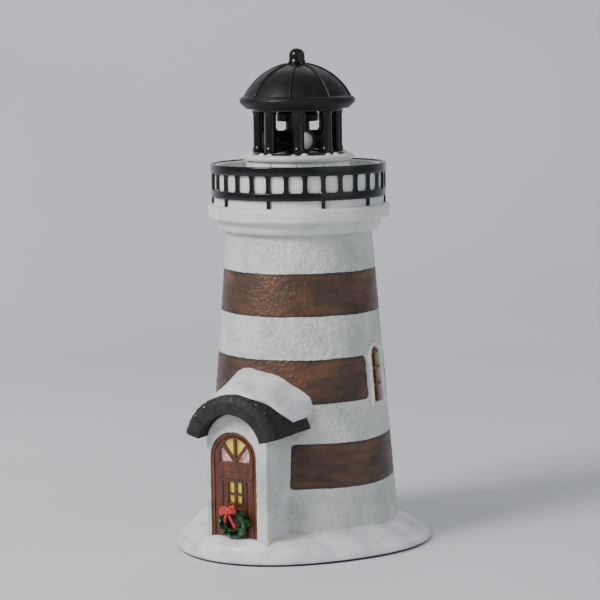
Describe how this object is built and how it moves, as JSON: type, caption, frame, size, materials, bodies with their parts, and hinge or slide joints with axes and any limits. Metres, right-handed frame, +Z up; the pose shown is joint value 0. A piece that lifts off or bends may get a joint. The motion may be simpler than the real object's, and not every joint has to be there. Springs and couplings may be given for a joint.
{
  "type": "lighted lighthouse ornament",
  "caption": "Lighted holiday lighthouse ornament: banded tower on a snowy base, with a porch, railed gallery and a lantern with a turning beacon.",
  "frame": {"origin": "on the tower's axis, in the plane of the felt pad's underside, where the ornament stands", "axes": "+Z up along the tower's axis, -Y out of the porch door, +X towards the side window"},
  "size_m": [0.1108, 0.1149, 0.215],
  "materials": {
    "felt": "matt felt",
    "snow_ceramic": "satin glaze with a grainy snow texture",
    "tower_ceramic": "off-white stucco-textured satin glaze with three painted brown bands",
    "gallery_ceramic": "off-white satin glaze",
    "window_trim": "satin white",
    "black_metal": "gloss black paint",
    "black_plastic": "gloss black",
    "roof_paint": "matt black painted shingles",
    "door_paint": "satin reddish brown paint over modelled wood",
    "lit_pane": "translucent warm yellow film, lit from inside",
    "greenery": "matt dark green paint on moulded resin leaves",
    "bow_red": "satin red paint on moulded resin",
    "lens": "milky translucent lens",
    "lamp_glass": "frosted warm white",
    "gear_plastic": "natural acetal",
    "white_plastic": "matt white moulding",
    "grey_plastic": "fine-grained grey moulding",
    "box_plastic": "fine-grained black moulding",
    "switch_red": "matt red moulding",
    "steel": "plain bright steel",
    "brass": "plain brass",
    "cell_sleeve": "plain printed-film sleeve without any lettering",
    "wire_pvc": "thin flexible PVC insulation"
  },
  "bodies": {
    "house": {"felt_pad": "felt", "snow_base": "snow_ceramic", "tower_shell": "tower_ceramic", "side_window_frame": "window_trim", "side_window_muntins": "door_paint", "side_window_pane": "lit_pane", "porch_walls": "gallery_ceramic", "porch_roof": "roof_paint", "porch_roof_snow": "snow_ceramic", "door_frame": "door_paint", "door_leaf": "door_paint", "fanlight_tracery": "door_paint", "door_window_pane": "lit_pane", "fanlight_pane": "lit_pane", "door_wreath": "greenery", "wreath_bow": "bow_red", "gallery": "gallery_ceramic", "gallery_railing": "black_metal", "lantern_pedestal": "gallery_ceramic", "lantern_frame": "black_metal", "dome_roof": "black_metal", "finial": "black_metal", "lantern_bush": "brass", "beacon_spindle": "steel", "beacon_lamp": "lamp_glass", "gear_motor": "steel", "motor_screws": "steel", "drive_plate": "grey_plastic", "drive_plate_screws": "steel", "lamp_post": "white_plastic", "lamp_post_screws": "steel", "lamp_socket": "white_plastic", "tower_lamp_bulb": "lamp_glass", "battery_box": "box_plastic", "battery_cells": "cell_sleeve", "battery_contacts": "brass", "battery_springs": "steel", "base_cover": "grey_plastic", "cover_screws": "steel", "anchor_blocks": "grey_plastic", "switch_housing": "black_plastic", "motor_wires": "wire_pvc", "beacon_wires": "wire_pvc", "lamp_wires": "wire_pvc"},
    "beacon_head": {"beacon_body": "black_plastic", "beacon_lens_rings": "black_plastic", "bullseye_lenses": "lens", "beacon_cap": "black_plastic", "drive_gear": "gear_plastic"},
    "pinion": {"motor_shaft": "steel", "motor_pinion": "gear_plastic"},
    "battery_door": {"battery_door": "grey_plastic"},
    "switch_slider": {"switch_slider": "switch_red"}
  },
  "joints": [
    {"name": "beacon_spin", "type": "hinge", "parent": "house", "child": "beacon_head", "pos_m": [0, 0, 0.1753], "axis": [0, 0, 1], "continuous": true},
    {"name": "pinion_spin", "type": "hinge", "parent": "house", "child": "pinion", "pos_m": [-0.0168, 0, 0.149], "axis": [0, 0, 1], "continuous": true},
    {"name": "battery_door_hinge", "type": "hinge", "parent": "house", "child": "battery_door", "pos_m": [0, -0.0156, 0.00245], "axis": [1, 0, 0], "range_deg": [-90, 0]},
    {"name": "switch_slide", "type": "slide", "parent": "house", "child": "switch_slider", "axis": [1, 0, 0], "range_m": [0, 0.003]}
  ],
  "couplings": [
    {"joint": "pinion_spin", "follows": "beacon_spin", "ratio": -3}
  ]
}
